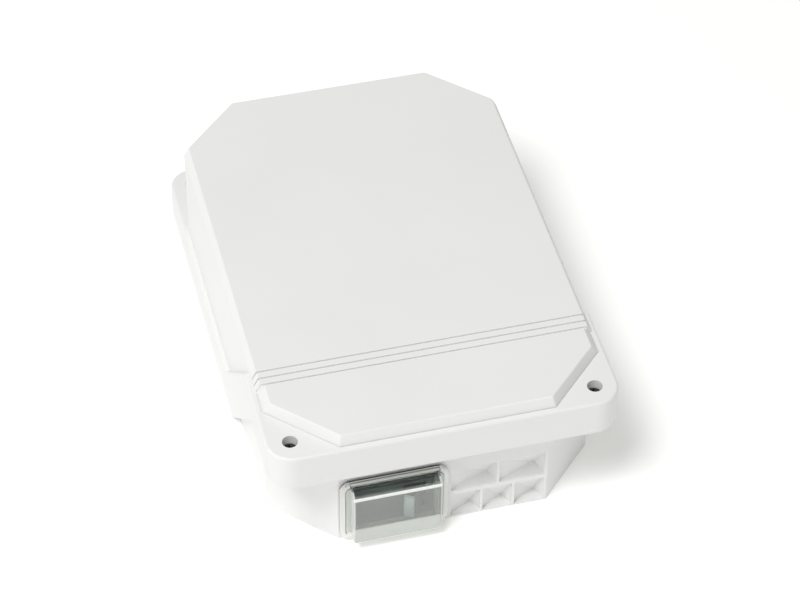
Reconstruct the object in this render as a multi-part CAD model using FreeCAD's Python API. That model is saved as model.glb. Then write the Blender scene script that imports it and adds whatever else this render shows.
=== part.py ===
# Water leak control unit: a wall case with relays, a battery, and a mains switch behind a clear flap.
# The unit lies on its back: X runs across it, +Y towards its far end and +Z out of the wall.
# The origin is the middle of its outline, on the back plane. Millimetres and degrees.
import FreeCAD, Part

import os
from math import cos, pi, tan

V = FreeCAD.Vector

# Cover: flange, raised body and front panel
flange_width = 160.0
flange_length = 246.4
flange_corner_r = 12.0
flange_edge_r = 1.2
skirt_height = 18.7
skirt_floor_gap = 0.4
cover_wall = 2.7
case_height = 72.6
panel_height = 4.6
body_side_inset = 2.3
body_rear_inset = 14.7
body_chamfer = 28.4
body_lean = 2.2
body_corner_r = 3.0
body_edge_r = 0.6
panel_side_inset = 3.1
panel_front_inset = 2.8
panel_chamfer = 28.0
panel_lean = 2.3
panel_side_lean = 3.5
panel_corner_r = 1.5
panel_edge_r = 0.6
panel_foot_groove = 0.5

# Grooves across the cover, counted from the rear one
groove_from_front = 50.4
groove_pitch = 4.0
groove_count = 3
groove_width = 1.0
groove_depth = 0.9

# The flange drops at 45 degrees behind the cable end, and its lower edge drops sooner
step_from_front = 55.4
skirt_step_lead = 11.9

# Base
base_side_inset = 3.8
end_wall_inset = 8.4
base_wall = 2.6
base_chamfer = 27.5
base_corner_r = 1.5
floor_thickness = 3.0
ledge_gap = 0.6
ledge_thickness = 3.0
rim_clearance = 0.5
rim_wall = 2.2

# Seal between base and cover
seal_height = 2.0
seal_width = 2.0
seal_inset = 0.1

# Cover screws in wells at the flange corners, and the inserts that they turn into
corner_hole_inset = 10.8
well_r = 3.5
well_depth = 7.0
well_wall = 1.2
well_floor = 3.0
boss_gap = 0.2
boss_r = 5.0
cover_screw_r = 2.0
cover_screw_clearance = 0.2
cover_screw_length = 9.0
cover_screw_head_r = 3.2
cover_screw_head_height = 2.4
insert_r = 2.9
insert_length = 5.6
thread_gap = 0.05
tip_gap = 0.3
cross_share = 0.7
cross_width = 0.9
cross_depth = 1.2

# Cable entries: blind pockets, each deepest at a point near its lower right corner
entry_x = 3.8
entry_row_width = 43.6
entry_rib = 1.3
entry_z = 0.8
entry_height = 14.5
entry_row_gap = 2.2
entry_depth = 1.5
entry_point_depth = 4.5
entry_point_inset = 3.1
entry_skin = 1.4

# Rows of entries, the lower one first: how many, and the height of the points over the row's bottom
entry_rows = ((3, 1.3), (2, 3.5))

# Window in the end wall, its gasket and the frame round it
window_from_middle = 23.2
window_width = 40.0
window_bottom = 4.0
window_height = 30.4
window_corner_r = 2.0
frame_side_margin = 4.8
frame_bottom_margin = 3.0
frame_top_margin = 3.8
frame_corner_r = 5.5
gasket_thickness = 0.8
gasket_inset = 0.6
frame_thickness = 1.8
frame_web = 0.8
frame_border = 2.1
sleeve_gap = 0.1
sleeve_wall = 0.8

# Clear flap, its seal and its hinge
window_seal_margin = 0.3
window_seal_width = 0.9
window_seal_height = 0.5
flap_seal_gap = 0.1
flap_edge_gap = 0.3
flap_plate = 1.0
flap_wall = 1.2
flap_box_depth = 6.2
flap_top_drop = 3.9
flap_bottom_inset = 1.8
flap_lip_proud = 0.5
flap_lip_height = 3.3
flap_edge_r = 0.8
flap_corner_r = 2.2
hinge_r = 0.9
hinge_pin_r = 0.45
hinge_pin_gap = 0.05
hinge_gap = 0.2
hinge_end_gap = 0.3
hinge_lug_width = 1.6
hinge_barrel_length = 40.8

# Mains switch and its lever
switch_depth = 49.0
switch_shoulder = 1.5
switch_top = 36.0
switch_nose_drop = 2.0
switch_nose_gap = 0.3
switch_edge_r = 1.0
lever_from_window_middle = 10.7
lever_z = 17.3
lever_width = 13.0
lever_drum_r = 4.5
lever_drum_proud = 1.0
lever_reach = 10.0
lever_thickness = 4.8
lever_tip_r = 1.0
lever_rest_tilt = 27.0
lever_gap = 0.4
lever_pin_r = 1.0
lever_pin_hold = 2.0
pole_spacing = 20.0
pole_size = 6.0
pole_length = 4.0

# Switch bracket, and the short posts that carry it and the battery strap
bracket_thickness = 1.5
bracket_width = 12.0
bracket_foot = 10.0
bracket_rear_inset = 1.0
bracket_gap = 0.1
post_r = 3.5
low_post_height = 9.0

# Main board on its posts
board_width = 132.0
board_length = 84.0
board_thickness = 1.6
board_corner_r = 3.0
board_post_height = 8.0
board_hole_inset = 5.0
m3_r = 1.5
m3_clearance = 0.2
m3_length = 8.0
m3_head_r = 2.75
m3_head_height = 2.0

# Terminal blocks side by side on the board's cable edge; the mains switch feeds two of the mains ways
mains_ways = 6
valve_ways = 8
sensor_ways = 3
switched_ways = (1, 5)
block_gap = 2.0
way_pitch = 5.0
block_depth = 11.0
block_height = 13.0
block_edge_inset = 2.0
mouth_size = 3.2
mouth_depth = 6.0
mouth_lift = 2.6
screw_well_r = 1.9
screw_well_depth = 4.5
way_screw_r = 1.6
way_screw_height = 2.5

# Parts on the board. Relays and fuse are placed from its cable edge, the rest from its far edge,
# relays and power module from its left edge, the rest from its middle line.
relay_count = 4
relay_length = 19.0
relay_width = 15.4
relay_height = 15.6
relay_pitch = 22.0
relay_inset = 4.0
relay_y = 18.0
relay_edge_r = 0.6
module_length = 48.0
module_width = 30.0
module_height = 22.0
module_inset = 4.0
module_far = 42.0
module_edge_r = 1.0
capacitor_r = 8.0
capacitor_height = 21.0
capacitor_x = 2.0
capacitor_far = 30.0
capacitor_crimp_z = 4.0
capacitor_crimp_r = 0.7
holder_length = 24.0
holder_width = 9.0
holder_height = 2.0
holder_x = 31.0
holder_y = 22.0
clip_wall = 0.8
clip_width = 4.0
clip_height = 6.4
fuse_r = 2.6
fuse_length = 20.0
fuse_cap_length = 5.0
fuse_glass_r = 2.3
chip_size = 12.0
chip_height = 1.6
chip_x = 18.0
chip_far = 40.0
chip_edge_r = 0.4
buzzer_r = 6.0
buzzer_height = 8.5
buzzer_hole_r = 1.2
buzzer_hole_depth = 2.0
buzzer_x = 46.0
buzzer_far = 34.0
led_r = 1.5
led_height = 4.5
led_pitch = 5.0
led_count = 3
led_x = 14.0
led_far = 18.0
socket_width = 12.0
socket_depth = 6.0
socket_height = 8.0
socket_x = 28.0
socket_far = 8.0

# Service buttons on the board
button_case = 6.0
button_case_height = 3.6
button_r = 1.75
button_bore_gap = 0.3
button_floor = 0.6
button_travel = 0.8
button_stop_gap = 0.1
button_proud = 4.0
button_tip_r = 0.4
button_far = 14.0
set_up_button_x = 42.0
reset_button_x = 53.0

# Battery, its tabs and its strap
battery_width = 97.0
battery_depth = 43.0
battery_height = 50.0
battery_edge_r = 1.5
battery_lid_height = 2.0
battery_lid_inset = 1.2
tab_width = 4.8
tab_thickness = 0.8
tab_height = 5.0
tab_pitch = 6.0
tab_y_inset = 8.0
strap_width = 14.0
strap_thickness = 1.2
strap_foot = 8.0
strap_gap = 0.1
rib_height = 9.0
rib_thickness = 1.8
rib_length = 9.0
rib_gap = 0.2

# Leads
lead_r = 1.1
lead_bend_r = 5.5
mouth_entry = 3.0

# Holes through the base for the wall screws
wall_hole_x = 62.0
wall_hole_front = 62.0
wall_hole_spacing = 118.0
wall_hole_r = 3.0
wall_boss_r = 6.0
wall_boss_height = 1.6

# Places that follow from the sizes
flap_back_gap = window_seal_height + flap_seal_gap
flap_proud = gasket_thickness + frame_web + flap_back_gap + flap_plate + flap_box_depth + flap_lip_proud
flap_overhang = flap_proud - end_wall_inset
front_y = (flap_overhang - flange_length) / 2
rear_y = front_y + flange_length
half_flange = flange_width / 2
half_body = half_flange - body_side_inset
half_panel = half_flange - panel_side_inset
half_base = half_flange - base_side_inset
flange_top = case_height - panel_height
skirt_bottom = flange_top - skirt_height
step_y = front_y + step_from_front
half_groove = groove_width / 2
groove_y = front_y + groove_from_front
body_front_y = groove_y - (groove_count - 1) * groove_pitch - half_groove
body_rear_y = rear_y - body_rear_inset
panel_y = front_y + panel_front_inset
end_wall_y = front_y + end_wall_inset
end_wall_inner_y = end_wall_y + base_wall
rim_inset = cover_wall + rim_clearance
rim_inner_inset = rim_inset + rim_wall
offset_rise = tan(pi / 8)
far = 2 * flange_length

window_x = -window_from_middle
window_left = window_x - window_width / 2
window_right = window_x + window_width / 2
window_top = window_bottom + window_height
frame_left = window_left - frame_side_margin
frame_right = window_right + frame_side_margin
frame_bottom = window_bottom - frame_bottom_margin
frame_top = window_top + frame_top_margin
frame_back_y = end_wall_y - gasket_thickness
frame_face_y = frame_back_y - frame_thickness
web_face_y = frame_back_y - frame_web
sleeve_inset = sleeve_gap + sleeve_wall
flap_back_y = web_face_y - flap_back_gap
flap_face_y = flap_back_y - flap_plate
flap_front_y = flap_face_y - flap_box_depth
hinge_y = web_face_y - hinge_gap - hinge_r
hinge_z = frame_top - hinge_r
plate_left = frame_left + frame_border + flap_edge_gap
plate_right = frame_right - frame_border - flap_edge_gap
plate_bottom = frame_bottom + frame_border + flap_edge_gap
plate_top = frame_top - frame_border - flap_edge_gap
ridge_z = frame_top - flap_top_drop
barrel_left = window_x - hinge_barrel_length / 2
barrel_right = window_x + hinge_barrel_length / 2

nose_y = end_wall_y + switch_nose_drop
switch_left = window_left - switch_shoulder
switch_right = window_right + switch_shoulder
switch_rear_y = end_wall_inner_y + switch_depth
lever_x = window_x + lever_from_window_middle
lever_y = nose_y - lever_drum_proud + lever_drum_r
lever_low = lever_z - lever_width / 2
lever_high = lever_z + lever_width / 2

# The board and the battery stand evenly spaced between the switch and the body's far wall
room_y = body_rear_y - cover_wall - switch_rear_y - board_length - battery_depth
board_y = switch_rear_y + room_y / 3
board_rear_y = board_y + board_length
board_left = -board_width / 2
board_bottom = floor_thickness + board_post_height
board_top = board_bottom + board_thickness
block_y = board_y + block_edge_inset
mouth_z = board_top + mouth_lift + mouth_size / 2
low_post_top = floor_thickness + low_post_height
battery_y = board_rear_y + room_y / 3
battery_rear_y = battery_y + battery_depth
battery_middle_y = battery_y + battery_depth / 2
battery_side = battery_width / 2
battery_lid_z = floor_thickness + battery_height
battery_top = battery_lid_z + battery_lid_height
tab_y = battery_y + tab_y_inset

# The switch's poles, and each terminal block's left side and number of ways
poles = [window_x + side * pole_spacing / 2 for side in (-1, 1)]
mains_left = poles[0] - (switched_ways[0] + 0.5) * way_pitch
valve_left = mains_left + mains_ways * way_pitch + block_gap
sensor_left = valve_left + valve_ways * way_pitch + block_gap
terminal_blocks = {
    "mains_terminals": (mains_left, mains_ways),
    "valve_terminals": (valve_left, valve_ways),
    "sensor_terminals": (sensor_left, sensor_ways),
}
buttons = {"set_up": set_up_button_x, "reset": reset_button_x}


# Plain shapes: x, y and z are (low, high) pairs, or single places
def box(x, y, z):
    return Part.makeBox(x[1] - x[0], y[1] - y[0], z[1] - z[0], V(x[0], y[0], z[0]))


def rod(r, x, y, z):
    return Part.makeCylinder(r, z[1] - z[0], V(x, y, z[0]))


def cross_rod(r, x, y, z):
    return Part.makeCylinder(r, x[1] - x[0], V(x[0], y, z), V(1, 0, 0))


def long_rod(r, x, y, z):
    return Part.makeCylinder(r, y[1] - y[0], V(x, y[0], z), V(0, 1, 0))


def plan(points, z):
    """A prism on an outline in X and Y."""
    corners = [V(x, y, z[0]) for x, y in points]
    return Part.Face(Part.makePolygon(corners + corners[:1])).extrude(V(0, 0, z[1] - z[0]))


def leaning_plan(low_points, high_points, z):
    """A solid whose outline changes from the first to the second over its height."""
    outlines = [
        Part.makePolygon([V(x, y, level) for x, y in points + points[:1]])
        for points, level in zip((low_points, high_points), z)
    ]
    return Part.makeLoft(outlines, True, True)


def profile(points, x):
    """A prism on an outline in Y and Z."""
    corners = [V(x[0], y, z) for y, z in points]
    return Part.Face(Part.makePolygon(corners + corners[:1])).extrude(V(x[1] - x[0], 0, 0))


def rounded(shape, r, wanted):
    """Rounds the edges whose middle point and direction pass the test."""
    edges = [e for e in shape.Edges if wanted(e.CenterOfMass, e.tangentAt(e.FirstParameter))]
    return shape.makeFillet(r, edges)


def is_upright(middle, direction):
    return abs(direction.z) > 0.99


def is_along_y(middle, direction):
    return abs(direction.y) > 0.99


def soft_box(x, y, z, r):
    """A box with its upright and top edges rounded."""
    def wanted(middle, direction):
        return is_upright(middle, direction) or middle.z > z[1] - r / 2
    return rounded(box(x, y, z), r, wanted)


def pane(x, z, y, r):
    """A block in the end wall's plane with its four corners rounded."""
    return rounded(box(x, y, z), r, is_along_y)


def tube(points, r, bend_r):
    """A round lead along straight runs joined by tangent arcs."""
    edges = []
    start = points[0]
    for before, corner, after in zip(points, points[1:], points[2:]):
        way_in = (corner - before).normalize()
        way_out = (after - corner).normalize()
        half_turn = way_in.getAngle(way_out) / 2
        setback = bend_r * tan(half_turn)
        arc_start = corner - way_in * setback
        arc_end = corner + way_out * setback
        inward = (way_out - way_in).normalize()
        arc_middle = corner + inward * (bend_r / cos(half_turn) - bend_r)
        edges.append(Part.LineSegment(start, arc_start).toShape())
        edges.append(Part.Arc(arc_start, arc_middle, arc_end).toShape())
        start = arc_end
    edges.append(Part.LineSegment(start, points[-1]).toShape())
    first_way = (points[1] - points[0]).normalize()
    section = Part.Wire([Part.makeCircle(r, points[0], first_way)])
    return Part.Wire(edges).makePipeShell([section], True, False)


def screw(x, y, seat, r, length, head_r, head_height):
    """A cross-head screw whose head sits on seat."""
    top = seat + head_height
    solid = rod(r, x, y, (seat - length, seat)).fuse(rod(head_r, x, y, (seat, top)))
    arm = head_r * cross_share
    half = cross_width / 2
    along = box((x - arm, x + arm), (y - half, y + half), (top - cross_depth, top + 1))
    across = box((x - half, x + half), (y - arm, y + arm), (top - cross_depth, top + 1))
    return solid.cut([along, across]).removeSplitter()


def m3_screw(x, y, seat):
    return screw(x, y, seat, m3_r, m3_length, m3_head_r, m3_head_height)


def m3_holes(places, z):
    """Bores that run through a sheet between the heights in z."""
    return [rod(m3_r + m3_clearance, x, y, (z[0] - 1, z[1] + 1)) for x, y in places]


# Stepped lines of the case in Y and Z: level, down at 45 degrees, level
def stepped(front_z, rear_z, bend_y):
    return [(-far, front_z), (bend_y, front_z), (bend_y + front_z - rear_z, rear_z), (far, rear_z)]


def top_line(drop):
    """The flange's top, moved inwards by drop."""
    return stepped(flange_top - drop, skirt_height - drop, step_y - drop * offset_rise)


def skirt_line(lift):
    """The skirt's lower edge, moved inwards by lift."""
    bend_y = step_y - skirt_step_lead + lift * offset_rise
    return stepped(skirt_bottom + lift, skirt_floor_gap + lift, bend_y)


def ledge_line():
    """The inner face of the base's ledge and floor."""
    lift = ledge_gap + ledge_thickness
    return stepped(skirt_bottom + lift, floor_thickness, step_y - skirt_step_lead + lift * offset_rise)


def under(line):
    return profile(line + [(far, -far), (-far, -far)], (-far, far))


def over(line):
    return profile(line + [(far, far), (-far, far)], (-far, far))


# Outlines of the case seen from the front, each drawn in by inset
def flange_plan(inset, z):
    x = half_flange - inset
    shape = box((-x, x), (front_y + inset, rear_y - inset), z)
    return rounded(shape, flange_corner_r - inset, is_upright)


def body_outline(inset):
    """The raised body behind the front panel."""
    x = half_body - inset
    y = body_rear_y - inset
    cut = body_chamfer - inset * (1 - offset_rise)
    return [(-x, body_front_y), (x, body_front_y), (x, y - cut), (x - cut, y), (cut - x, y), (-x, y - cut)]


def body_plan(inset, z):
    return plan(body_outline(inset), z)


def front_chamfered(half_width, near_y, rear, chamfer, inset):
    """An outline with both corners nearest the cable end cut off."""
    x = half_width - inset
    y = near_y + inset
    cut = chamfer - inset * (1 - offset_rise)
    return [(-x, rear), (-x, y + cut), (cut - x, y), (x - cut, y), (x, y + cut), (x, rear)]


def panel_outline(inset, rear, narrower=0):
    """The front panel, with its two sides moved in by narrower and its chamfers where they were."""
    return front_chamfered(half_panel - narrower, panel_y, rear, panel_chamfer - narrower, inset)


def panel_plan(inset, rear, z):
    return plan(panel_outline(inset, rear), z)


def block_plan(inset, rear, z):
    """The base's tall block at the cable end."""
    return plan(front_chamfered(half_base, end_wall_y, rear, base_chamfer, inset), z)


def corner_places():
    """The cover screws: x, y and the height of the flange there."""
    x = half_flange - corner_hole_inset
    ends = ((front_y + corner_hole_inset, flange_top), (rear_y - corner_hole_inset, skirt_height))
    return [(side * x, y, top) for y, top in ends for side in (-1, 1)]


# Cover
def cover_flange():
    """The flange and its skirt, solid, with the outer top edge rounded."""
    block = flange_plan(0, (0, case_height))
    band = block.common(under(top_line(0))).common(over(skirt_line(0)))

    def wanted(middle, direction):
        height = min(flange_top, max(skirt_height, step_y + flange_top - middle.y))
        outer = abs(middle.x) > half_flange - flange_corner_r or abs(middle.y) > -front_y - flange_edge_r
        return outer and abs(middle.z - height) < flange_edge_r / 2
    return rounded(band, flange_edge_r, wanted)


def cover_body():
    """The raised body, solid: its sides lean in near the top."""
    def wanted(middle, direction):
        return middle.z > case_height - body_edge_r / 2 and middle.y > body_front_y + half_groove

    def at_corner(middle, direction):
        return abs(direction.z) > 0.7 and middle.y > body_front_y + half_groove
    raised = leaning_plan(body_outline(0), body_outline(body_lean), (flange_top, case_height))
    raised = rounded(rounded(raised, body_corner_r, at_corner), body_edge_r, wanted)
    root = rounded(body_plan(0, (0, flange_top)), body_corner_r, at_corner)
    return raised.fuse(root).common(over(top_line(cover_wall / 2)))


def cover_panel():
    """The front panel, solid: its sides lean in above the flange."""
    def wanted(middle, direction):
        return middle.z > case_height - panel_edge_r / 2 and middle.y < body_front_y - half_groove

    def at_corner(middle, direction):
        return abs(direction.z) > 0.7 and middle.y < body_front_y - half_groove
    foot = panel_outline(0, body_front_y)
    top = panel_outline(panel_lean, body_front_y, panel_side_lean - panel_lean)
    raised = leaning_plan(foot, top, (flange_top, case_height))
    raised = rounded(rounded(raised, panel_corner_r, at_corner), panel_edge_r, wanted)
    root = rounded(panel_plan(0, body_front_y, (0, flange_top)), panel_corner_r, at_corner)
    return raised.fuse(root).common(over(top_line(cover_wall / 2)))


def groove_cuts():
    """The grooves over the top and down both leaning sides."""
    def strip(x):
        return [(-x, front_y), (x, front_y), (x, rear_y), (-x, rear_y)]
    x = half_body - groove_depth
    core = leaning_plan(strip(x), strip(x - body_lean), (flange_top, case_height - groove_depth))
    cuts = []
    for k in range(groove_count):
        y = groove_y - k * groove_pitch
        slab_y = (y - half_groove, y + half_groove)
        slab = box((-half_flange, half_flange), slab_y, (flange_top, case_height + 1))
        cuts.append(slab.cut(core))
    return cuts


def front_cover():
    inner_top = case_height - cover_wall
    outer = cover_flange().fuse([cover_body(), cover_panel()])
    flange_space = flange_plan(cover_wall, (-1, case_height)).common(under(top_line(cover_wall)))
    body_space = body_plan(cover_wall, (-1, inner_top))
    panel_space = plan(panel_outline(cover_wall, body_front_y + cover_wall, panel_side_lean - panel_lean),
                       (-1, inner_top))
    foot_z = (flange_top - panel_foot_groove, flange_top + 1)
    foot = panel_plan(-panel_foot_groove, body_front_y, foot_z)
    foot = foot.cut(panel_plan(0, body_front_y, foot_z))
    shell = outer.cut([flange_space, body_space, panel_space, foot] + groove_cuts())
    tubes = []
    bores = []
    for x, y, top in corner_places():
        seat = top - well_depth
        tubes.append(rod(well_r + well_wall, x, y, (seat - well_floor, top - cover_wall / 2)))
        bores.append(rod(well_r, x, y, (seat, top + 1)))
        bores.append(rod(cover_screw_r + cover_screw_clearance, x, y, (seat - well_floor - 1, seat)))
    return shell.fuse(tubes).cut(bores).removeSplitter()


def cover_seal():
    inset = rim_inset + seal_inset
    height = (-1, case_height)
    ring = flange_plan(inset, height).cut(flange_plan(inset + seal_width, height))
    return ring.common(under(top_line(cover_wall))).common(over(top_line(cover_wall + seal_height)))


def boss_top(flange_z):
    return flange_z - well_depth - well_floor - boss_gap


def cover_screws():
    return [
        screw(x, y, top - well_depth, cover_screw_r, cover_screw_length,
              cover_screw_head_r, cover_screw_head_height)
        for x, y, top in corner_places()
    ]


def thread_inserts():
    inserts = []
    for x, y, flange_z in corner_places():
        z = (boss_top(flange_z) - insert_length, boss_top(flange_z))
        inserts.append(rod(insert_r, x, y, z).cut(rod(cover_screw_r + thread_gap, x, y, z)))
    return inserts


# Base
def entry_cells():
    """Each cable entry's sides in X and Z, and the height of its point."""
    cells = []
    for row, (count, point_lift) in enumerate(entry_rows):
        width = (entry_row_width - (count - 1) * entry_rib) / count
        z = entry_z + row * (entry_height + entry_row_gap)
        for k in range(count):
            x = entry_x + k * (width + entry_rib)
            cells.append(((x, x + width), (z, z + entry_height), z + point_lift))
    return cells


def entry_pocket(cell, skin):
    """A pocket with a four-sided point in its floor, grown by skin."""
    (x0, x1), (z0, z1), point_z = cell
    x = (x0 - skin, x1 + skin)
    z = (z0 - skin, z1 + skin)
    floor_y = end_wall_y + entry_depth + skin
    mouth = ((x[0], z[0]), (x[1], z[0]), (x[1], z[1]), (x[0], z[1]))
    corners = [V(corner_x, floor_y, corner_z) for corner_x, corner_z in mouth]
    apex = V(x1 - entry_point_inset, floor_y + entry_point_depth, point_z)
    faces = [Part.Face(Part.makePolygon(corners + corners[:1]))]
    for a, b in zip(corners, corners[1:] + corners[:1]):
        faces.append(Part.Face(Part.makePolygon([a, b, apex, a])))
    point = Part.makeSolid(Part.makeShell(faces))
    return box(x, (end_wall_y - 1, floor_y), z).fuse(point)


def board_holes():
    x = board_width / 2 - board_hole_inset
    ys = (board_y + board_hole_inset, board_rear_y - board_hole_inset)
    return [(side * x, y) for y in ys for side in (-1, 1)]


def wall_holes():
    y = front_y + wall_hole_front
    return [(side * wall_hole_x, y + step) for step in (0, wall_hole_spacing) for side in (-1, 1)]


def bracket_holes():
    reach = bracket_gap + bracket_thickness + bracket_foot / 2
    y = switch_rear_y - bracket_rear_inset - bracket_width / 2
    return [(switch_left - reach, y), (switch_right + reach, y)]


def strap_holes():
    x = battery_side + strap_gap + strap_thickness + strap_foot / 2
    return [(side * x, battery_middle_y) for side in (-1, 1)]


def battery_ribs():
    """An angle at each lower corner of the battery."""
    ribs = []
    z = (0, floor_thickness + rib_height)
    for side in (-1, 1):
        for y, way in ((battery_y, -1), (battery_rear_y, 1)):
            near_x = side * (battery_side + rib_gap)
            far_x = near_x + side * rib_thickness
            near_y = y + way * rib_gap
            far_y = near_y + way * rib_thickness
            back_x = near_x - side * rib_length
            back_y = near_y - way * rib_length
            ribs.append(box(sorted((near_x, far_x)), sorted((back_y, far_y)), z))
            ribs.append(box(sorted((back_x, far_x)), sorted((near_y, far_y)), z))
    return ribs


def base_posts():
    """What stands up from the base's floor and its ledge."""
    posts = battery_ribs()
    for x, y, flange_z in corner_places():
        foot = 0 if flange_z < flange_top else skirt_bottom + ledge_gap
        posts.append(rod(boss_r, x, y, (foot, boss_top(flange_z))))
    posts += [rod(post_r, x, y, (0, board_bottom)) for x, y in board_holes()]
    posts += [rod(post_r, x, y, (0, low_post_top)) for x, y in bracket_holes() + strap_holes()]
    posts += [rod(wall_boss_r, x, y, (0, floor_thickness + wall_boss_height)) for x, y in wall_holes()]
    return posts


def base_bores():
    bores = []
    for x, y, flange_z in corner_places():
        top = boss_top(flange_z)
        tip = flange_z - well_depth - cover_screw_length - tip_gap
        bores.append(rod(insert_r + thread_gap, x, y, (top - insert_length, top + 1)))
        bores.append(rod(cover_screw_r + thread_gap, x, y, (tip, top)))
    screw_seats = [(x, y, board_top, board_bottom) for x, y in board_holes()]
    screw_seats += [(x, y, low_post_top + bracket_thickness, low_post_top) for x, y in bracket_holes()]
    screw_seats += [(x, y, low_post_top + strap_thickness, low_post_top) for x, y in strap_holes()]
    for x, y, seat, top in screw_seats:
        bores.append(rod(m3_r + thread_gap, x, y, (seat - m3_length - tip_gap, top + 1)))
    for x, y in wall_holes():
        bores.append(rod(wall_hole_r, x, y, (-1, floor_thickness + wall_boss_height + 1)))
    return bores


def base_shell():
    """The tall block, the rim all round and the rear floor, hollowed out."""
    block_rear = step_y - skirt_step_lead + skirt_bottom + flange_corner_r
    tray = flange_plan(rim_inset, (0, case_height)).common(over(skirt_line(ledge_gap)))
    behind = box((-half_flange, half_flange), (block_rear - base_wall, rear_y), (0, floor_thickness))
    rear_floor = flange_plan(rim_inset, (0, floor_thickness)).common(behind)
    block = rounded(block_plan(0, block_rear, (0, case_height)), base_corner_r,
                    lambda middle, direction: is_upright(middle, direction) and middle.y < block_rear - 1)
    outer = block.fuse([tray, rear_floor]).common(under(top_line(cover_wall + seal_height)))
    tray_space = flange_plan(rim_inner_inset, (0, 2 * case_height)).common(over(ledge_line()))
    block_space = block_plan(base_wall, block_rear, (floor_thickness, 2 * case_height))
    return outer.cut([tray_space, block_space])


def back_box():
    inside = box((-half_base, half_base), (end_wall_y, rear_y), (0, case_height))
    skins = [entry_pocket(cell, entry_skin).common(inside) for cell in entry_cells()]
    pockets = [entry_pocket(cell, 0) for cell in entry_cells()]
    opening = pane((window_left, window_right), (window_bottom, window_top),
                   (end_wall_y - 1, end_wall_inner_y + 1), window_corner_r)
    solid = base_shell().fuse(skins + base_posts())
    return solid.cut(pockets + [opening] + base_bores()).removeSplitter()


# Window gasket, frame, seal and flap
def window_gasket():
    y = (frame_back_y, end_wall_y)
    ring = pane((frame_left + gasket_inset, frame_right - gasket_inset),
                (frame_bottom + gasket_inset, frame_top - gasket_inset), y, frame_corner_r - gasket_inset)
    return ring.cut(pane((window_left, window_right), (window_bottom, window_top), y, window_corner_r))


def hinge_lugs():
    lugs = []
    for near_x, way in ((barrel_left - hinge_end_gap, -1), (barrel_right + hinge_end_gap, 1)):
        x = sorted((near_x, near_x + way * hinge_lug_width))
        lugs.append(cross_rod(hinge_r, x, hinge_y, hinge_z))
        lugs.append(box(x, (hinge_y, frame_back_y - frame_web / 2), (hinge_z - hinge_r, hinge_z + hinge_r)))
    return lugs


def window_frame():
    x = (frame_left, frame_right)
    z = (frame_bottom, frame_top)
    recess_x = (frame_left + frame_border, frame_right - frame_border)
    recess_z = (frame_bottom + frame_border, frame_top - frame_border)
    plate = pane(x, z, (frame_face_y, frame_back_y), frame_corner_r)
    recess = pane(recess_x, recess_z, (frame_face_y - 1, web_face_y), frame_corner_r - frame_border)
    barrel_x = (barrel_left - hinge_end_gap, barrel_right + hinge_end_gap)
    barrel_space = box(barrel_x, (frame_face_y - 1, web_face_y), (plate_top, frame_top + 1))
    sleeve = pane((window_left + sleeve_gap, window_right - sleeve_gap),
                  (window_bottom + sleeve_gap, window_top - sleeve_gap),
                  (web_face_y, end_wall_inner_y), window_corner_r - sleeve_gap)
    hole = pane((window_left + sleeve_inset, window_right - sleeve_inset),
                (window_bottom + sleeve_inset, window_top - sleeve_inset),
                (frame_face_y - 1, end_wall_inner_y + 1), window_corner_r - sleeve_inset)
    pin_bore = cross_rod(hinge_pin_r + hinge_pin_gap, x, hinge_y, hinge_z)
    solid = plate.cut([recess, barrel_space]).fuse([sleeve] + hinge_lugs())
    return solid.cut([hole, pin_bore]).removeSplitter()


def window_seal():
    inner = sleeve_inset - window_seal_margin
    outer = inner - window_seal_width
    y = (web_face_y - window_seal_height, web_face_y)
    ring = pane((window_left + outer, window_right - outer), (window_bottom + outer, window_top - outer), y,
                window_corner_r - outer)
    return ring.cut(pane((window_left + inner, window_right - inner),
                         (window_bottom + inner, window_top - inner), y, window_corner_r - inner))


def flap_outside():
    """The flap's box from the side: the hinge's top, the ridge, the lip and the back."""
    low = plate_bottom + flap_bottom_inset
    return [
        (hinge_y, hinge_z + hinge_r),
        (flap_front_y, ridge_z),
        (flap_front_y, low + flap_lip_height),
        (flap_front_y - flap_lip_proud, low + 2 * flap_lip_proud),
        (flap_front_y - flap_lip_proud + flap_wall, low),
        (flap_back_y, low),
        (flap_back_y, hinge_z),
    ]


def flap_inside():
    """The box's space, which is open through the plate below the hinge's neck."""
    low = plate_bottom + flap_bottom_inset + flap_wall
    front = flap_front_y + flap_wall
    neck_z = plate_top - flap_plate
    return [
        (flap_face_y, hinge_z - flap_wall / 2),
        (front, ridge_z - flap_wall),
        (front, low + flap_lip_height),
        (front - flap_lip_proud, low + flap_lip_proud),
        (front - flap_lip_proud, low),
        (flap_back_y + 1, low),
        (flap_back_y + 1, neck_z),
        (flap_face_y, neck_z),
    ]


def window_cover():
    x = (barrel_left, barrel_right)
    inner_x = (x[0] + flap_wall, x[1] - flap_wall)

    def wanted(middle, direction):
        return middle.y < flap_front_y + flap_edge_r / 2 and abs(direction.x) < 0.99
    shell = rounded(profile(flap_outside(), x), flap_edge_r, wanted)
    soft_corners = pane(x, (plate_bottom + flap_bottom_inset, case_height), (flap_front_y - 1, flap_back_y),
                        flap_corner_r)
    shell = shell.common(soft_corners)
    plate = pane((plate_left, plate_right), (plate_bottom, plate_top), (flap_face_y, flap_back_y),
                 frame_corner_r - frame_border - flap_edge_gap)
    barrel = cross_rod(hinge_r, x, hinge_y, hinge_z)
    pin_bore = cross_rod(hinge_pin_r + hinge_pin_gap, x, hinge_y, hinge_z)
    return shell.fuse([plate, barrel]).cut([profile(flap_inside(), inner_x), pin_bore]).removeSplitter()


def window_hinge_pin():
    reach = hinge_end_gap + hinge_lug_width
    return cross_rod(hinge_pin_r, (barrel_left - reach, barrel_right + reach), hinge_y, hinge_z)


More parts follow.
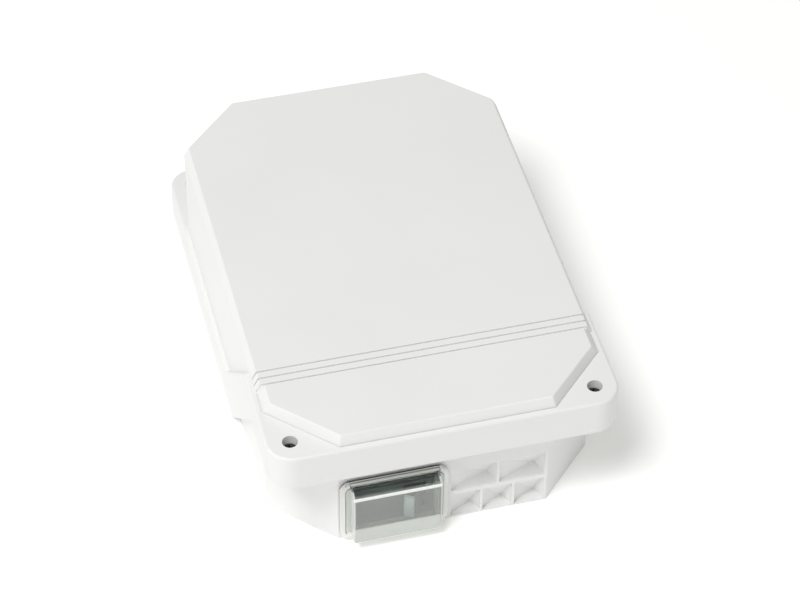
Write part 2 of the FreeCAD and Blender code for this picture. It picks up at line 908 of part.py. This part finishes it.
# Mains switch
def power_switch_body():
    nose_inset = sleeve_inset + switch_nose_gap
    case = pane((switch_left, switch_right), (floor_thickness, switch_top),
                (end_wall_inner_y, switch_rear_y), switch_edge_r)
    nose = pane((window_left + nose_inset, window_right - nose_inset),
                (window_bottom + nose_inset, window_top - nose_inset),
                (nose_y, end_wall_inner_y + switch_edge_r), switch_edge_r)
    r = lever_drum_r + lever_gap
    z = (lever_low - lever_gap, lever_high + lever_gap)
    pocket = rod(r, lever_x, lever_y, z)
    mouth = box((lever_x - r, lever_x + r), (nose_y - 1, lever_y), z)
    pin_z = (lever_low - lever_pin_hold, lever_high + lever_pin_hold)
    pin_bore = rod(lever_pin_r + thread_gap, lever_x, lever_y, pin_z)
    return case.fuse(nose).cut([pocket, mouth, pin_bore]).removeSplitter()


def power_lever():
    z = (lever_low, lever_high)
    half = lever_thickness / 2
    tip_y = lever_y - lever_reach
    blade = rounded(box((lever_x - half, lever_x + half), (tip_y, lever_y), z), lever_tip_r,
                    lambda middle, direction: is_upright(middle, direction) and middle.y < tip_y + half)
    drum = rod(lever_drum_r, lever_x, lever_y, z)
    solid = drum.fuse(blade).cut(rod(lever_pin_r + thread_gap, lever_x, lever_y, z)).removeSplitter()
    solid.rotate(V(lever_x, lever_y, 0), V(0, 0, 1), -lever_rest_tilt)
    return solid


def lever_pin():
    return rod(lever_pin_r, lever_x, lever_y, (lever_low - lever_pin_hold, lever_high + lever_pin_hold))


def switch_terminals():
    """The poles, level with the mouths of the mains ways that they feed."""
    half = pole_size / 2
    y = (switch_rear_y, switch_rear_y + pole_length)
    return [box((x - half, x + half), y, (mouth_z - half, mouth_z + half)) for x in poles]


def switch_bracket():
    """A strap over the switch with a foot on each side."""
    rear = switch_rear_y - bracket_rear_inset
    y = (rear - bracket_width, rear)
    left = switch_left - bracket_gap
    right = switch_right + bracket_gap
    foot_z = (low_post_top, low_post_top + bracket_thickness)
    top_z = (switch_top + bracket_gap, switch_top + bracket_gap + bracket_thickness)
    parts = [box((left - bracket_thickness, right + bracket_thickness), y, top_z)]
    for near, way in ((left, -1), (right, 1)):
        bent = near + way * bracket_thickness
        parts.append(box(sorted((near, bent)), y, (foot_z[0], top_z[1])))
        parts.append(box(sorted((near, bent + way * bracket_foot)), y, foot_z))
    return parts[0].fuse(parts[1:]).cut(m3_holes(bracket_holes(), foot_z)).removeSplitter()


def bracket_screws():
    return [m3_screw(x, y, low_post_top + bracket_thickness) for x, y in bracket_holes()]


# Main board and what is on it
def main_board():
    board = rounded(box((board_left, -board_left), (board_y, board_rear_y), (board_bottom, board_top)),
                    board_corner_r, is_upright)
    return board.cut(m3_holes(board_holes(), (board_bottom, board_top)))


def board_screws():
    return [m3_screw(x, y, board_top) for x, y in board_holes()]


def on_board(x, y, width, depth, height, r):
    """A soft-edged box that stands on the board, by its near left corner."""
    return soft_box((x, x + width), (y, y + depth), (board_top, board_top + height), r)


def way_x(block, k):
    return terminal_blocks[block][0] + (k + 0.5) * way_pitch


def terminal_block(name):
    left, ways = terminal_blocks[name]
    top = board_top + block_height
    half = mouth_size / 2
    mouth_y = (block_y - 1, block_y + mouth_depth)
    cuts = []
    for k in range(ways):
        x = way_x(name, k)
        cuts.append(box((x - half, x + half), mouth_y, (mouth_z - half, mouth_z + half)))
        cuts.append(rod(screw_well_r, x, block_y + block_depth / 2, (top - screw_well_depth, top + 1)))
    return box((left, left + ways * way_pitch), (block_y, block_y + block_depth), (board_top, top)).cut(cuts)


def terminal_screws():
    """A slotted screw in each way's well."""
    low = board_top + block_height - screw_well_depth
    high = low + way_screw_height
    y = block_y + block_depth / 2
    half = cross_width / 2
    screws = []
    for name, (left, ways) in terminal_blocks.items():
        for k in range(ways):
            x = way_x(name, k)
            slot_x = (x - way_screw_r, x + way_screw_r)
            slot = box(slot_x, (y - half, y + half), (high - cross_width, high + 1))
            screws.append(rod(way_screw_r, x, y, (low, high)).cut(slot))
    return screws


def valve_relay(k):
    x = board_left + relay_inset + k * relay_pitch
    return on_board(x, board_y + relay_y, relay_length, relay_width, relay_height, relay_edge_r)


def power_module():
    x = board_left + module_inset
    return on_board(x, board_rear_y - module_far, module_length, module_width, module_height, module_edge_r)


def filter_capacitor():
    y = board_rear_y - capacitor_far
    top = board_top + capacitor_height
    can = rounded(rod(capacitor_r, capacitor_x, y, (board_top, top)), module_edge_r,
                  lambda middle, direction: middle.z > top - module_edge_r)
    crimp = V(capacitor_x, y, board_top + capacitor_crimp_z)
    return can.cut(Part.makeTorus(capacitor_r, capacitor_crimp_r, crimp))


def fuse_middle():
    return (holder_x + holder_length / 2, board_y + holder_y + holder_width / 2,
            board_top + holder_height + clip_wall + fuse_r)


def fuse_holder():
    """A foot with two spring clips."""
    x, y, z = fuse_middle()
    foot = box((holder_x, holder_x + holder_length), (board_y + holder_y, board_y + holder_y + holder_width),
               (board_top, board_top + holder_height))
    outer = fuse_r + thread_gap + clip_wall
    clips = []
    for side in (-1, 1):
        middle_x = x + side * (fuse_length - fuse_cap_length) / 2
        clip_x = (middle_x - clip_width / 2, middle_x + clip_width / 2)
        clip = box(clip_x, (y - outer, y + outer), (board_top + holder_height / 2, board_top + clip_height))
        clips.append(clip.cut(cross_rod(fuse_r + thread_gap, clip_x, y, z)))
    return foot.fuse(clips).removeSplitter()


def fuse():
    """A glass tube with a cap at each end."""
    x, y, z = fuse_middle()
    half = fuse_length / 2
    caps = [cross_rod(fuse_r, sorted((x + side * half, x + side * (half - fuse_cap_length))), y, z)
            for side in (-1, 1)]
    bare = half - fuse_cap_length
    return cross_rod(fuse_glass_r, (x - bare, x + bare), y, z).fuse(caps).removeSplitter()


def controller_chip():
    return on_board(chip_x, board_rear_y - chip_far, chip_size, chip_size, chip_height, chip_edge_r)


def buzzer():
    y = board_rear_y - buzzer_far
    top = board_top + buzzer_height
    return rod(buzzer_r, buzzer_x, y, (board_top, top)).cut(
        rod(buzzer_hole_r, buzzer_x, y, (top - buzzer_hole_depth, top + 1)))


def status_leds():
    y = board_rear_y - led_far
    dome_z = board_top + led_height - led_r
    leds = []
    for k in range(led_count):
        x = led_x + k * led_pitch
        leds.append(rod(led_r, x, y, (board_top, dome_z)).fuse(Part.makeSphere(led_r, V(x, y, dome_z))))
    return leds


def battery_socket():
    y = board_rear_y - socket_far
    return on_board(socket_x, y, socket_width, socket_depth, socket_height, chip_edge_r)


def button_switch(x):
    """The case of a push button with the bore that the button runs in."""
    half = button_case / 2
    y = board_rear_y - button_far
    case = on_board(x - half, y - half, button_case, button_case, button_case_height, chip_edge_r)
    z = (board_top + button_floor, board_top + button_case_height + 1)
    return case.cut(rod(button_r + button_bore_gap, x, y, z))


def button(x):
    low = board_top + button_floor + button_stop_gap + button_travel
    top = board_top + button_case_height + button_proud
    pin = rod(button_r, x, board_rear_y - button_far, (low, top))
    return rounded(pin, button_tip_r, lambda middle, direction: middle.z > top - button_tip_r)


# Battery
def battery():
    case = rounded(box((-battery_side, battery_side), (battery_y, battery_rear_y),
                       (floor_thickness, battery_lid_z)), battery_edge_r, is_upright)
    lid_x = battery_side - battery_lid_inset
    lid_y = (battery_y + battery_lid_inset, battery_rear_y - battery_lid_inset)
    lid = rounded(box((-lid_x, lid_x), lid_y, (battery_lid_z, battery_top)), battery_edge_r, is_upright)
    return case.fuse(lid)


def tab_places():
    """The two tabs stand behind the board's battery socket."""
    middle = socket_x + socket_width / 2
    return [middle + side * tab_pitch / 2 for side in (-1, 1)]


def battery_tabs():
    half = tab_width / 2
    deep = tab_thickness / 2
    return [box((x - half, x + half), (tab_y - deep, tab_y + deep), (battery_top, battery_top + tab_height))
            for x in tab_places()]


def battery_strap():
    """A strap across the battery with a foot at each end."""
    y = (battery_middle_y - strap_width / 2, battery_middle_y + strap_width / 2)
    face = battery_side + strap_gap
    bent = face + strap_thickness
    foot_z = (low_post_top, low_post_top + strap_thickness)
    top_z = (battery_top + strap_gap, battery_top + strap_gap + strap_thickness)
    parts = [box((-bent, bent), y, top_z)]
    for side in (-1, 1):
        parts.append(box(sorted((side * face, side * bent)), y, (foot_z[0], top_z[1])))
        parts.append(box(sorted((side * face, side * (bent + strap_foot))), y, foot_z))
    return parts[0].fuse(parts[1:]).cut(m3_holes(strap_holes(), foot_z)).removeSplitter()


def strap_screws():
    return [m3_screw(x, y, low_post_top + strap_thickness) for x, y in strap_holes()]


# Leads
def battery_leads():
    """From each tab over the battery's edge and down to the socket."""
    start_y = tab_y - tab_thickness / 2
    run_z = battery_top + tab_height / 2
    end_y = board_rear_y - socket_far + socket_depth / 2
    leads = []
    for x in tab_places():
        points = [V(x, start_y, run_z), V(x, end_y, run_z), V(x, end_y, board_top + socket_height)]
        leads.append(tube(points, lead_r, lead_bend_r))
    return leads


def mains_leads():
    """From the switch's poles straight into two ways of the mains block."""
    return [long_rod(lead_r, x, (switch_rear_y + pole_length, block_y + mouth_entry), mouth_z) for x in poles]


nodes = {
    "back_box": back_box(),
    "front_cover": front_cover(),
    "cover_seal": cover_seal(),
    "cover_screws": cover_screws(),
    "thread_inserts": thread_inserts(),
    "window_gasket": window_gasket(),
    "window_frame": window_frame(),
    "window_seal": window_seal(),
    "window_cover": window_cover(),
    "window_hinge_pin": window_hinge_pin(),
    "power_switch_body": power_switch_body(),
    "power_lever": power_lever(),
    "lever_pin": lever_pin(),
    "switch_bracket": switch_bracket(),
    "bracket_screws": bracket_screws(),
    "switch_terminals": switch_terminals(),
    "main_board": main_board(),
    "board_screws": board_screws(),
    "terminal_screws": terminal_screws(),
    "power_module": power_module(),
    "fuse_holder": fuse_holder(),
    "fuse": fuse(),
    "filter_capacitor": filter_capacitor(),
    "controller_chip": controller_chip(),
    "buzzer": buzzer(),
    "status_leds": status_leds(),
    "battery_socket": battery_socket(),
    "battery": battery(),
    "battery_tabs": battery_tabs(),
    "battery_strap": battery_strap(),
    "strap_screws": strap_screws(),
    "battery_leads": battery_leads(),
    "mains_leads": mains_leads(),
}
for name in terminal_blocks:
    nodes[name] = terminal_block(name)
for k in range(relay_count):
    nodes[f"valve_relay_{k + 1}"] = valve_relay(k)
for name, x in buttons.items():
    nodes[f"{name}_switch"] = button_switch(x)
    nodes[f"{name}_button"] = button(x)

os.makedirs("parts", exist_ok=True)
for name, shape in nodes.items():
    if isinstance(shape, list):
        shape = Part.makeCompound(shape)
    shape.exportStep(f"parts/{name}.step")
    print(name, len(shape.Solids), "solids,", round(shape.Volume, 1), "mm3, valid", shape.isValid())
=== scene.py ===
# The look of a water leak control unit: moulded white case, clear flap and what is inside
from math import radians

import bpy
from mathutils import Euler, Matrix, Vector


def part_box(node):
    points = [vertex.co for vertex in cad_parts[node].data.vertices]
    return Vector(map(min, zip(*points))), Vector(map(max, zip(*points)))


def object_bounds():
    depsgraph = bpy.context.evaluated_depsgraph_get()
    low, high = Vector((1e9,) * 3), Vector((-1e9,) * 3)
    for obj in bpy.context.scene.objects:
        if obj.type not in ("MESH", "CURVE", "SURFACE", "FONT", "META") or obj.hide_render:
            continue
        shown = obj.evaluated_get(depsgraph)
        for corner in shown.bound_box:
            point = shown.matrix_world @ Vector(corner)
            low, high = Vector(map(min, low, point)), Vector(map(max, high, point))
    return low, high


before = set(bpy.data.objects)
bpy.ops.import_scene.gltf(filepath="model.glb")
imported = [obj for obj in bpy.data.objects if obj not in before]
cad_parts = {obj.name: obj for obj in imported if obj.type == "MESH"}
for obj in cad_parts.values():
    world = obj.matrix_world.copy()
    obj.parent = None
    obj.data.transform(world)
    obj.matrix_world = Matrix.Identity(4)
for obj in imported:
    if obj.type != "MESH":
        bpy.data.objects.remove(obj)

cad_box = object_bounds()

# Camera: metres and degrees in the part's frame
camera_place = (-0.2346, -0.9202, 0.9852)
camera_turn = (44.791, -0.489, -14.337)
lens_mm = 127.66
sensor_mm = 36.0
nearest_seen = 0.05

# Light and floor
sky_strength = 0.42
ceiling_place = (-0.9, -0.75, 2.2)
ceiling_size = (0.9, 0.9)
ceiling_power = 40.0
side_place = (-2.0, -0.2, 0.7)
side_size = (2.0, 1.0)
side_power = 3.0
floor_size = 30.0
floor_roughness = 0.8
floor_specular = 0.1
floor_glow = 0.2
floor_glow_colour = (1, 1, 0.92)
floor_cloud_scale = 1.5

# Textures: the values that noise stays between, lumps per metre, and depths in metres
noise_low = 0.3
noise_high = 0.7
mould_cloud_scale = 14.0
mould_grain = 900.0
rubber_grain = 1500.0
mould_grain_depth = 0.00003
mould_gloss_shift = 0.05
mould_specular = 0.4
metal_cloud_scale = 60.0
metal_shades = (0.88, 1.08)
metal_grain = 1200.0
metal_grain_depth = 0.00001
metal_gloss_shift = 0.08
drawn_along_y = (1, 0.05, 1)
drawn_along_z = (1, 1, 0.05)
flow_scale = 40.0
flow_stretch = (1, 1, 0.3)
flow_shade = 0.97
flow_gloss_shift = 0.03
flow_depth = 0.00005
plastic_ior = 1.49
glass_ior = 1.5
track_scale = 120.0
track_width = 0.06
track_blur = 0.1
track_depth = 0.00004
lacquer_cloud_scale = 50.0
lacquer_roughness = (0.22, 0.34)

# Flap: the places of its walls in its own box, in metres
flap_flange = 0.002
flap_box_bottom = 0.0018
flap_lip = 0.0005
flap_ridge_drop = 0.0039

# Flap: how milky its edges are, where the ridge, side and top ones are painted highlights and the bottom
# one also paints light, and the distances in metres over which that fades
ridge_painted_highlight = 0.85
ridge_highlight_fade = (0.0007, 0.0011)
side_painted_highlight = 0.6
side_highlight_fade = (0.0007, 0.001)
top_painted_highlight = 0.85
top_highlight_fade = (0.0003, 0.0004)
band_milk = 0.55
band_fade = (0.0111, 0.011655)
bottom_milk_and_painted_light = 0.85
bottom_light_fade = (0.0012, 0.00132)
front_milk = 0.14
front_fade = (0.00156, 0.0018)
clear_roughness = 0.03
milky_roughness = 0.3
milky_from = 0.8

# Painted shade on the hinge barrel, the painted shadow line on the frame, and the lever's pale tip face:
# distances in metres over which each starts and ends
barrel_shade_start = (0.0004, 0.0005)
barrel_shade_end = (0.0017, 0.00187)
shadow_line_start = (0.00248, 0.00253)
shadow_line_end = (0.0003, 0.0006)
lever_tip_end = (0.001, 0.0012)
lever_direction = Vector((-0.454, -0.891, 0.0))


# Node trees
def new_material(name):
    """A material with its tree, its shader and the object's own coordinates."""
    material = bpy.data.materials.new(name)
    material.use_nodes = True
    tree = material.node_tree
    shader = tree.nodes["Principled BSDF"]
    place = tree.nodes.new("ShaderNodeTexCoord").outputs["Object"]
    return material, tree, shader, place


def noise(tree, place, scale, detail=3.0, stretch=(1, 1, 1)):
    """Noise whose scale counts lumps per metre, stretched along the axes."""
    mapping = tree.nodes.new("ShaderNodeMapping")
    mapping.inputs["Scale"].default_value = stretch
    tree.links.new(place, mapping.inputs["Vector"])
    node = tree.nodes.new("ShaderNodeTexNoise")
    node.inputs["Scale"].default_value = scale
    node.inputs["Detail"].default_value = detail
    tree.links.new(mapping.outputs["Vector"], node.inputs["Vector"])
    return node.outputs["Fac"]


def spread(tree, value, low, high, start=noise_low, end=noise_high):
    """Maps a value that runs from start to end to the range from low to high."""
    node = tree.nodes.new("ShaderNodeMapRange")
    node.inputs["From Min"].default_value = start
    node.inputs["From Max"].default_value = end
    node.inputs["To Min"].default_value = low
    node.inputs["To Max"].default_value = high
    tree.links.new(value, node.inputs["Value"])
    return node.outputs["Result"]


def shades(tree, value, dark, light):
    """A colour that runs from dark to light with a texture's values."""
    node = tree.nodes.new("ShaderNodeValToRGB")
    node.color_ramp.elements[0].position = noise_low
    node.color_ramp.elements[0].color = (*dark, 1)
    node.color_ramp.elements[1].position = noise_high
    node.color_ramp.elements[1].color = (*light, 1)
    tree.links.new(value, node.inputs["Fac"])
    return node.outputs["Color"]


def bump(tree, shader, height, distance):
    """Raises the surface by a texture's values times the distance."""
    node = tree.nodes.new("ShaderNodeBump")
    node.inputs["Distance"].default_value = distance
    tree.links.new(height, node.inputs["Height"])
    tree.links.new(node.outputs["Normal"], shader.inputs["Normal"])


def tinted(colour, factor):
    """The colour made darker or lighter."""
    return tuple(min(1.0, channel * factor) for channel in colour)


def maths(tree, operation, first, second=0.0):
    """One sum on values or sockets."""
    node = tree.nodes.new("ShaderNodeMath")
    node.operation = operation
    for socket, value in zip(node.inputs, (first, second)):
        if isinstance(value, (int, float)):
            socket.default_value = value
        else:
            tree.links.new(value, socket)
    return node.outputs["Value"]


def object_axes(tree, names):
    """The object's own coordinates along the named axes."""
    axes = tree.nodes.new("ShaderNodeSeparateXYZ")
    tree.links.new(tree.nodes["Texture Coordinate"].outputs["Object"], axes.inputs["Vector"])
    return [axes.outputs[name] for name in names]


def two_tone(tree, colour, factor):
    """Lays a second colour over the shader's own one."""
    shader = tree.nodes["Principled BSDF"]
    mix = tree.nodes.new("ShaderNodeMix")
    mix.data_type = "RGBA"
    tree.links.new(shader.inputs["Base Color"].links[0].from_socket, mix.inputs["A"])
    mix.inputs["B"].default_value = (*colour, 1)
    tree.links.new(factor, mix.inputs["Factor"])
    tree.links.new(mix.outputs["Result"], shader.inputs["Base Color"])


# Materials
def moulded(name, colour, roughness, uneven=0.03, grain=mould_grain):
    """Moulded plastic: slow shifts of shade, a fine grain and uneven gloss."""
    material, tree, shader, place = new_material(name)
    slow = noise(tree, place, mould_cloud_scale, detail=4.0)
    fine = noise(tree, place, grain, detail=2.0)
    colours = shades(tree, slow, tinted(colour, 1 - uneven), tinted(colour, 1 + uneven))
    gloss = spread(tree, slow, roughness - mould_gloss_shift, roughness + mould_gloss_shift)
    tree.links.new(colours, shader.inputs["Base Color"])
    tree.links.new(gloss, shader.inputs["Roughness"])
    shader.inputs["Specular IOR Level"].default_value = mould_specular
    bump(tree, shader, fine, mould_grain_depth)
    return material


def metal(name, colour, roughness, stretch=(1, 1, 1)):
    """Worked metal with its fine drawn or turned lines."""
    material, tree, shader, place = new_material(name)
    lines = noise(tree, place, metal_grain, stretch=stretch)
    slow = noise(tree, place, metal_cloud_scale)
    colours = shades(tree, slow, *[tinted(colour, shade) for shade in metal_shades])
    gloss = spread(tree, lines, roughness - metal_gloss_shift, roughness + metal_gloss_shift)
    tree.links.new(colours, shader.inputs["Base Color"])
    tree.links.new(gloss, shader.inputs["Roughness"])
    shader.inputs["Metallic"].default_value = 1.0
    bump(tree, shader, lines, metal_grain_depth)
    return material


def clear(name, colour, roughness, ior, clearness=1.0):
    """Clear moulded plastic or glass with faint flow lines."""
    material, tree, shader, place = new_material(name)
    flow = noise(tree, place, flow_scale, detail=2.0, stretch=flow_stretch)
    tree.links.new(shades(tree, flow, tinted(colour, flow_shade), colour), shader.inputs["Base Color"])
    tree.links.new(spread(tree, flow, roughness, roughness + flow_gloss_shift), shader.inputs["Roughness"])
    shader.inputs["Transmission Weight"].default_value = clearness
    shader.inputs["IOR"].default_value = ior
    bump(tree, shader, flow, flow_depth)
    return material


def cloudy_frame_painted_shadow():
    """Cloudy plastic with a painted shadow: a near-black line along its top back edge, standing in for the
    shaded gap behind the hinge barrel.
    """
    low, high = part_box("window_frame")
    material = clear("cloudy_frame_painted_shadow", (0.95, 0.96, 0.92), 0.2, plastic_ior, clearness=0.12)
    tree = material.node_tree
    y, z = object_axes(tree, "YZ")
    shadow_at_top = spread(tree, maths(tree, "SUBTRACT", high.z, z), 1.0, 0.0, *shadow_line_end)
    shadow_at_back = spread(tree, maths(tree, "SUBTRACT", y, low.y), 0.0, 1.0, *shadow_line_start)
    # Painted shadow: near black where the frame's top and back meet, in place of the shaded gap there.
    two_tone(tree, (0.01, 0.01, 0.01), maths(tree, "MULTIPLY", shadow_at_top, shadow_at_back))
    return material


def distance_from_ridge(tree, low, high, y, z):
    """How far a point of the flap is from its front top edge."""
    across = maths(tree, "SUBTRACT", y, low.y + flap_lip)
    down = maths(tree, "SUBTRACT", z, high.z - flap_ridge_drop)
    squares = [maths(tree, "MULTIPLY", side, side) for side in (across, down)]
    return maths(tree, "SQRT", maths(tree, "ADD", *squares))


def clear_flap():
    """Clear plastic that turns milky along its edges and its lower band, the edges as painted highlights,
    with painted shade on the hinge barrel.
    """
    low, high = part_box("window_cover")
    material = clear("clear_flap", (0.935, 0.967, 0.925), clear_roughness, plastic_ior)
    tree = material.node_tree
    shader = tree.nodes["Principled BSDF"]
    x, y, z = object_axes(tree, "XYZ")
    half_box = (high.x - low.x) / 2 - flap_flange
    from_middle = maths(tree, "ABSOLUTE", maths(tree, "SUBTRACT", x, (low.x + high.x) / 2))
    from_top = maths(tree, "SUBTRACT", high.z, z)
    # Painted highlights: the ridge, side and top edges turn milky white where light catches them.
    edges = [
        (distance_from_ridge(tree, low, high, y, z), ridge_painted_highlight, ridge_highlight_fade),
        (maths(tree, "SUBTRACT", half_box, from_middle), side_painted_highlight, side_highlight_fade),
        (from_top, top_painted_highlight, top_highlight_fade),
        (maths(tree, "SUBTRACT", z, low.z), band_milk, band_fade),
        # Milky bottom wall, partly painted light: it stands in for the light coming up through the clear
        # bottom.
        (maths(tree, "SUBTRACT", z, low.z + flap_box_bottom), bottom_milk_and_painted_light, bottom_light_fade),
        (maths(tree, "SUBTRACT", y, low.y + flap_lip), front_milk, front_fade),
    ]
    milk_and_painted_light = 0.0
    for distance, amount, fade in edges:
        milk_and_painted_light = maths(tree, "MAXIMUM", milk_and_painted_light, spread(tree, distance, amount, 0.0, *fade))
    tree.links.new(maths(tree, "SUBTRACT", 1.0, milk_and_painted_light), shader.inputs["Transmission Weight"])
    tree.links.new(spread(tree, milk_and_painted_light, clear_roughness, milky_roughness, 0.0, milky_from),
                   shader.inputs["Roughness"])
    # Painted shade: the band around the hinge barrel is darkened to the look of the shaded hinge.
    barrel = maths(tree, "MULTIPLY", spread(tree, from_top, 0.0, 1.0, *barrel_shade_start),
                   spread(tree, from_top, 1.0, 0.0, *barrel_shade_end))
    two_tone(tree, (0.3, 0.32, 0.31), barrel)
    return material


def lever_plastic():
    """Lever in a dark colour that paints the shade on its flanks, with its tip face pale blue."""
    # Painted shade: the whole lever except its tip face is dark, standing in for its shaded flanks.
    material = moulded("lever_painted_shade", (0.06, 0.07, 0.08), 0.35, uneven=0.06)
    tree = material.node_tree
    tip = max(vertex.co.dot(lever_direction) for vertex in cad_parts["power_lever"].data.vertices)
    dot = tree.nodes.new("ShaderNodeVectorMath")
    dot.operation = "DOT_PRODUCT"
    dot.inputs[1].default_value = lever_direction
    tree.links.new(tree.nodes["Texture Coordinate"].outputs["Object"], dot.inputs[0])
    from_tip = maths(tree, "SUBTRACT", tip, dot.outputs["Value"])
    two_tone(tree, (0.75, 0.88, 0.95), spread(tree, from_tip, 1.0, 0.0, *lever_tip_end))
    return material


def circuit_board():
    """Green lacquer with lighter tracks under it."""
    material, tree, shader, place = new_material("board_green")
    tracks = tree.nodes.new("ShaderNodeTexBrick")
    tracks.inputs["Scale"].default_value = track_scale
    tracks.inputs["Mortar Size"].default_value = track_width
    tracks.inputs["Mortar Smooth"].default_value = track_blur
    tracks.inputs["Color1"].default_value = (0.012, 0.11, 0.045, 1)
    tracks.inputs["Color2"].default_value = (0.015, 0.13, 0.05, 1)
    tracks.inputs["Mortar"].default_value = (0.03, 0.2, 0.08, 1)
    tree.links.new(place, tracks.inputs["Vector"])
    tree.links.new(tracks.outputs["Color"], shader.inputs["Base Color"])
    gloss = spread(tree, noise(tree, place, lacquer_cloud_scale), *lacquer_roughness)
    tree.links.new(gloss, shader.inputs["Roughness"])
    bump(tree, shader, tracks.outputs["Fac"], track_depth)
    return material


def pale_floor():
    """Pale matt floor that glows a little, as an overexposed one does."""
    material, tree, shader, place = new_material("pale_floor")
    slow = noise(tree, place, floor_cloud_scale)
    tree.links.new(shades(tree, slow, (0.9, 0.9, 0.9), (0.93, 0.93, 0.93)), shader.inputs["Base Color"])
    shader.inputs["Roughness"].default_value = floor_roughness
    shader.inputs["Specular IOR Level"].default_value = floor_specular
    shader.inputs["Emission Color"].default_value = (*floor_glow_colour, 1)
    shader.inputs["Emission Strength"].default_value = floor_glow
    return material


def dress(material, *nodes):
    """Gives CAD nodes their material."""
    for name in nodes:
        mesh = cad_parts[name].data
        mesh.materials.clear()
        mesh.materials.append(material)


def dress_case():
    dress(moulded("cover_white", (0.80, 0.80, 0.79), 0.46, uneven=0.012), "front_cover")
    dress(moulded("base_white", (0.83, 0.83, 0.825), 0.42, uneven=0.012), "back_box")
    dress(moulded("seal_rubber", (0.02, 0.02, 0.022), 0.75, grain=rubber_grain), "cover_seal",
          "window_gasket", "window_seal")
    # The cover screws are blackened, and their dark colour also paints the shade at the bottom of their
    # wells.
    dress(metal("dark_screws", (0.09, 0.08, 0.07), 0.4), "cover_screws")
    dress(metal("zinc_screws", (0.55, 0.55, 0.54), 0.34), "board_screws", "bracket_screws", "strap_screws",
          "terminal_screws")
    dress(metal("brass", (0.62, 0.44, 0.17), 0.3), "thread_inserts", "switch_terminals")


def dress_window():
    dress(cloudy_frame_painted_shadow(), "window_frame")
    dress(clear_flap(), "window_cover")
    dress(metal("dark_pins", (0.09, 0.1, 0.1), 0.3), "window_hinge_pin", "lever_pin")
    # Painted shade: the switch body is a dark blue-grey, standing in for a pale grey module lying in shade
    # behind the flap.
    dress(moulded("switch_painted_shade", (0.14, 0.18, 0.175), 0.4, uneven=0.08), "power_switch_body")
    dress(lever_plastic(), "power_lever")
    dress(metal("zinc_sheet", (0.6, 0.61, 0.62), 0.36, stretch=drawn_along_y), "switch_bracket",
          "battery_strap")


def dress_board():
    dress(circuit_board(), "main_board")
    dress(moulded("terminal_green", (0.04, 0.3, 0.1), 0.45, uneven=0.08), "mains_terminals",
          "valve_terminals", "sensor_terminals")
    relays = [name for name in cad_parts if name.startswith("valve_relay")]
    dress(moulded("relay_blue", (0.02, 0.09, 0.38), 0.3, uneven=0.08), *relays)
    dress(moulded("module_black", (0.012, 0.012, 0.013), 0.5, uneven=0.15), "power_module",
          "controller_chip", "buzzer", "fuse_holder", "set_up_switch", "reset_switch")
    dress(metal("capacitor_can", (0.72, 0.73, 0.75), 0.28, stretch=drawn_along_z), "filter_capacitor")
    dress(clear("fuse_glass", (0.92, 0.94, 0.93), 0.02, glass_ior), "fuse")
    dress(moulded("led_green", (0.1, 0.6, 0.15), 0.25, uneven=0.06), "status_leds")
    dress(moulded("socket_natural", (0.72, 0.7, 0.6), 0.4, uneven=0.05), "battery_socket")
    dress(moulded("button_red", (0.6, 0.03, 0.02), 0.35, uneven=0.06), "set_up_button", "reset_button")


def dress_battery():
    dress(moulded("battery_black", (0.025, 0.027, 0.03), 0.55, uneven=0.15), "battery")
    dress(metal("tinned_tabs", (0.68, 0.67, 0.62), 0.32), "battery_tabs")
    dress(moulded("lead_red", (0.5, 0.025, 0.02), 0.4, uneven=0.06), "battery_leads")
    dress(moulded("lead_brown", (0.16, 0.05, 0.02), 0.4, uneven=0.06), "mains_leads")


# Stage
def add_floor():
    bpy.ops.mesh.primitive_plane_add(size=floor_size, location=(0, 0, cad_box[0].z))
    floor = bpy.context.object
    floor.name = "floor"
    floor.data.materials.append(pale_floor())


def add_lamp(name, place, size, power):
    """A rectangular lamp that faces the unit."""
    light = bpy.data.lights.new(name, "AREA")
    light.shape = "RECTANGLE"
    light.size, light.size_y = size
    light.energy = power
    lamp = bpy.data.objects.new(name, light)
    lamp.location = place
    lamp.rotation_euler = (-Vector(place)).to_track_quat("-Z", "Y").to_euler()
    bpy.context.collection.objects.link(lamp)


def add_light():
    world = bpy.data.worlds.new("studio")
    world.use_nodes = True
    background = world.node_tree.nodes["Background"]
    background.inputs["Color"].default_value = (1, 1, 1, 1)
    background.inputs["Strength"].default_value = sky_strength
    bpy.context.scene.world = world
    add_lamp("ceiling", ceiling_place, ceiling_size, ceiling_power)
    add_lamp("side", side_place, side_size, side_power)


def add_camera():
    data = bpy.data.cameras.new("camera")
    data.lens = lens_mm
    data.sensor_width = sensor_mm
    data.clip_start = nearest_seen
    camera = bpy.data.objects.new("camera", data)
    camera.location = camera_place
    camera.rotation_euler = Euler([radians(angle) for angle in camera_turn])
    bpy.context.collection.objects.link(camera)
    bpy.context.scene.camera = camera


dress_case()
dress_window()
dress_board()
dress_battery()
add_floor()
add_light()
add_camera()
bpy.context.scene.view_settings.view_transform = "Standard"
